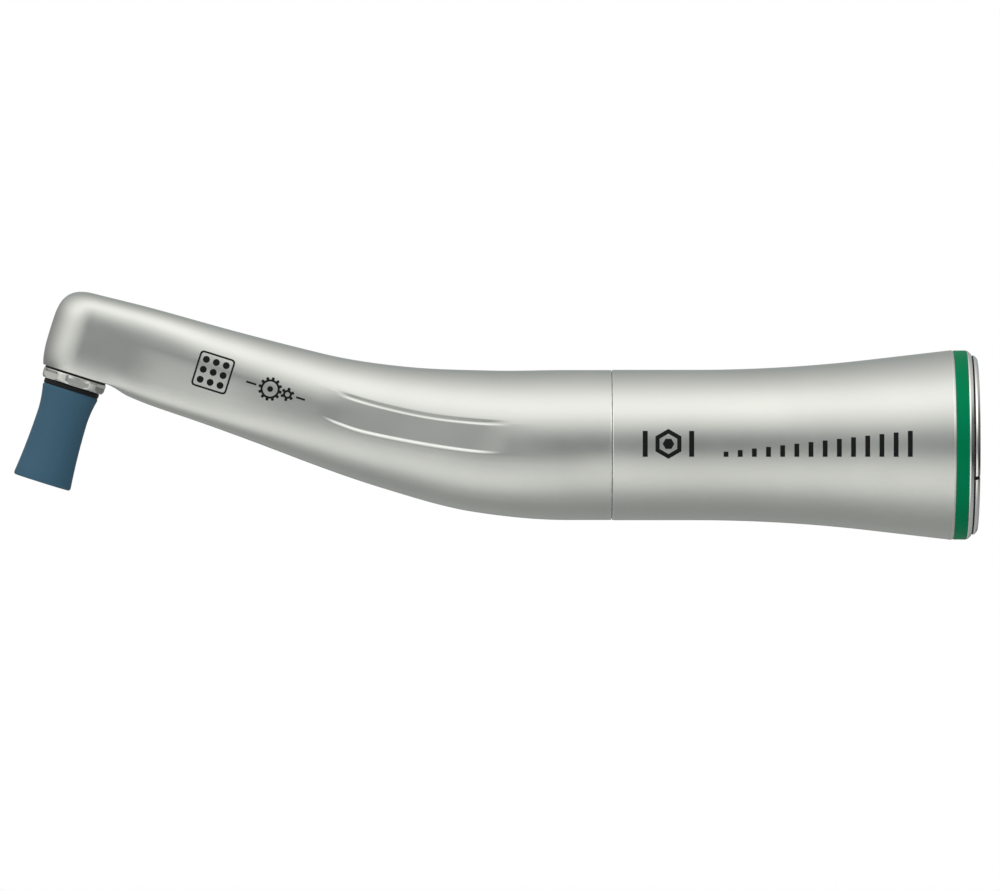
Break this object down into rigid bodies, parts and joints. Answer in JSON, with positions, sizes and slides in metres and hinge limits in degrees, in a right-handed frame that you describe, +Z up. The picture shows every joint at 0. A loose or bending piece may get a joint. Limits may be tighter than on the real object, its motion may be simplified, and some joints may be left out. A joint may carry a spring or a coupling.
{
  "type": "contra angle handpiece",
  "caption": "Bent-neck dental contra angle handpiece: tapered metal body, flared coupling end, reduction gearing inside and a rubber polishing cup screwed into the head.",
  "frame": {"origin": "centre of the motor coupling's mouth plane, on the handle's axis", "axes": "+X along the handle's axis out of the coupling's mouth, +Z up towards the back of the head, +Y across; the head and cup lie at -X, the cup points down"},
  "size_m": [0.1001, 0.0198, 0.0261],
  "materials": {
    "satin_titanium": "satin",
    "green_anodised": "satin",
    "polished_steel": "polished",
    "turned_steel": "turned",
    "bearing_steel": "ground",
    "bearing_brass": "plain",
    "bronze": "plain",
    "dark_steel": "satin",
    "black_rubber": "matte",
    "blue_rubber": "satin",
    "light_glass": "polished"
  },
  "bodies": {
    "housing": {"front_body": "satin_titanium", "rear_sleeve": "satin_titanium", "ratio_ring": "green_anodised", "bezel_ring": "polished_steel", "end_nut": "polished_steel", "sleeve_o_ring": "black_rubber", "coupling_body": "turned_steel", "ring_gear": "turned_steel", "gearbox_cover": "turned_steel", "middle_bearing_holder": "turned_steel", "input_bearing_nut": "turned_steel", "front_bearing_sleeve": "turned_steel", "lower_bush": "bronze", "head_ring": "dark_steel", "light_rod": "light_glass", "input_bearing_outer_ring": "bearing_steel", "middle_rear_bearing_outer_ring": "bearing_steel", "middle_front_bearing_outer_ring": "bearing_steel", "neck_rear_bearing_outer_ring": "bearing_steel", "neck_front_bearing_outer_ring": "bearing_steel", "head_upper_bearing_outer_ring": "bearing_steel"},
    "spindle": {"spindle": "turned_steel", "cup_stud": "turned_steel", "polishing_cup": "blue_rubber", "spindle_seal": "black_rubber", "head_upper_bearing_inner_ring": "bearing_steel"},
    "front_shaft": {"front_shaft": "turned_steel", "front_shaft_gear": "turned_steel", "neck_rear_bearing_inner_ring": "bearing_steel", "neck_front_bearing_inner_ring": "bearing_steel"},
    "second_carrier": {"second_carrier": "turned_steel", "second_planet_pins": "turned_steel", "middle_gear": "turned_steel", "middle_rear_bearing_inner_ring": "bearing_steel", "middle_front_bearing_inner_ring": "bearing_steel"},
    "first_carrier": {"first_carrier": "turned_steel", "first_planet_pins": "turned_steel"},
    "input_shaft": {"input_shaft": "turned_steel", "dog_pin": "turned_steel", "dog_spring": "turned_steel", "input_bearing_inner_ring": "bearing_steel"},
    "drive_dog": {"drive_dog": "turned_steel"},
    "first_planet_1": {"first_planet_1": "turned_steel"},
    "first_planet_2": {"first_planet_2": "turned_steel"},
    "first_planet_3": {"first_planet_3": "turned_steel"},
    "second_planet_1": {"second_planet_1": "turned_steel"},
    "second_planet_2": {"second_planet_2": "turned_steel"},
    "second_planet_3": {"second_planet_3": "turned_steel"},
    "input_bearing_cage": {"input_bearing_balls": "bearing_steel", "input_bearing_cage": "bearing_brass"},
    "middle_rear_bearing_cage": {"middle_rear_bearing_balls": "bearing_steel", "middle_rear_bearing_cage": "bearing_brass"},
    "middle_front_bearing_cage": {"middle_front_bearing_balls": "bearing_steel", "middle_front_bearing_cage": "bearing_brass"},
    "neck_rear_bearing_cage": {"neck_rear_bearing_balls": "bearing_steel", "neck_rear_bearing_cage": "bearing_brass"},
    "neck_front_bearing_cage": {"neck_front_bearing_balls": "bearing_steel", "neck_front_bearing_cage": "bearing_brass"},
    "head_upper_bearing_cage": {"head_upper_bearing_balls": "bearing_steel", "head_upper_bearing_cage": "bearing_brass"}
  },
  "joints": [
    {"name": "spindle_spin", "type": "hinge", "parent": "housing", "child": "spindle", "pos_m": [-0.09245, 0, 0.01137], "axis": [-0.3007, 0, -0.9537], "continuous": true},
    {"name": "front_shaft_spin", "type": "hinge", "parent": "housing", "child": "front_shaft", "pos_m": [-0.0564, 0, 0], "axis": [-0.9537, 0, 0.3007], "continuous": true},
    {"name": "second_carrier_spin", "type": "hinge", "parent": "housing", "child": "second_carrier", "pos_m": [-0.04, 0, 0], "axis": [-1, 0, 0], "continuous": true},
    {"name": "first_carrier_spin", "type": "hinge", "parent": "housing", "child": "first_carrier", "pos_m": [-0.032, 0, 0], "axis": [-1, 0, 0], "continuous": true},
    {"name": "input_shaft_spin", "type": "hinge", "parent": "housing", "child": "input_shaft", "pos_m": [-0.022, 0, 0], "axis": [-1, 0, 0], "continuous": true},
    {"name": "first_planet_1_spin", "type": "hinge", "parent": "first_carrier", "child": "first_planet_1", "pos_m": [-0.03, 0.003, 0], "axis": [-1, 0, 0], "continuous": true},
    {"name": "first_planet_2_spin", "type": "hinge", "parent": "first_carrier", "child": "first_planet_2", "pos_m": [-0.03, -0.0015, -0.0026], "axis": [-1, 0, 0], "continuous": true},
    {"name": "first_planet_3_spin", "type": "hinge", "parent": "first_carrier", "child": "first_planet_3", "pos_m": [-0.03, -0.0015, 0.0026], "axis": [-1, 0, 0], "continuous": true},
    {"name": "second_planet_1_spin", "type": "hinge", "parent": "second_carrier", "child": "second_planet_1", "pos_m": [-0.0349, 0.003, 0], "axis": [-1, 0, 0], "continuous": true},
    {"name": "second_planet_2_spin", "type": "hinge", "parent": "second_carrier", "child": "second_planet_2", "pos_m": [-0.0349, -0.0015, -0.0026], "axis": [-1, 0, 0], "continuous": true},
    {"name": "second_planet_3_spin", "type": "hinge", "parent": "second_carrier", "child": "second_planet_3", "pos_m": [-0.0349, -0.0015, 0.0026], "axis": [-1, 0, 0], "continuous": true},
    {"name": "input_bearing_cage_spin", "type": "hinge", "parent": "housing", "child": "input_bearing_cage", "pos_m": [-0.023, 0, 0], "axis": [-1, 0, 0], "continuous": true},
    {"name": "middle_rear_bearing_cage_spin", "type": "hinge", "parent": "housing", "child": "middle_rear_bearing_cage", "pos_m": [-0.0396, 0, 0], "axis": [-1, 0, 0], "continuous": true},
    {"name": "middle_front_bearing_cage_spin", "type": "hinge", "parent": "housing", "child": "middle_front_bearing_cage", "pos_m": [-0.0499, 0, 0], "axis": [-1, 0, 0], "continuous": true},
    {"name": "neck_rear_bearing_cage_spin", "type": "hinge", "parent": "housing", "child": "neck_rear_bearing_cage", "pos_m": [-0.06169, 0, 0.00167], "axis": [-0.9537, 0, 0.3007], "continuous": true},
    {"name": "neck_front_bearing_cage_spin", "type": "hinge", "parent": "housing", "child": "neck_front_bearing_cage", "pos_m": [-0.08706, 0, 0.00967], "axis": [-0.9537, 0, 0.3007], "continuous": true},
    {"name": "head_upper_bearing_cage_spin", "type": "hinge", "parent": "housing", "child": "head_upper_bearing_cage", "pos_m": [-0.09165, 0, 0.01389], "axis": [-0.3007, 0, -0.9537], "continuous": true},
    {"name": "drive_dog_slide", "type": "slide", "parent": "input_shaft", "child": "drive_dog", "axis": [-1, 0, 0], "range_m": [0, 0.0012], "stiffness_N_per_m": 500, "springref_m": -0.001, "deforming": ["dog_spring"]}
  ],
  "couplings": [
    {"joint": "front_shaft_spin", "follows": "spindle_spin", "ratio": 1},
    {"joint": "second_carrier_spin", "follows": "spindle_spin", "ratio": 1},
    {"joint": "first_carrier_spin", "follows": "spindle_spin", "ratio": 4},
    {"joint": "input_shaft_spin", "follows": "spindle_spin", "ratio": 16},
    {"joint": "first_planet_1_spin", "follows": "spindle_spin", "ratio": -12},
    {"joint": "first_planet_2_spin", "follows": "spindle_spin", "ratio": -12},
    {"joint": "first_planet_3_spin", "follows": "spindle_spin", "ratio": -12},
    {"joint": "second_planet_1_spin", "follows": "spindle_spin", "ratio": -3},
    {"joint": "second_planet_2_spin", "follows": "spindle_spin", "ratio": -3},
    {"joint": "second_planet_3_spin", "follows": "spindle_spin", "ratio": -3},
    {"joint": "input_bearing_cage_spin", "follows": "spindle_spin", "ratio": 6.24},
    {"joint": "middle_rear_bearing_cage_spin", "follows": "spindle_spin", "ratio": 0.39},
    {"joint": "middle_front_bearing_cage_spin", "follows": "spindle_spin", "ratio": 0.39},
    {"joint": "neck_rear_bearing_cage_spin", "follows": "spindle_spin", "ratio": 0.38571},
    {"joint": "neck_front_bearing_cage_spin", "follows": "spindle_spin", "ratio": 0.38571},
    {"joint": "head_upper_bearing_cage_spin", "follows": "spindle_spin", "ratio": 0.38571}
  ]
}
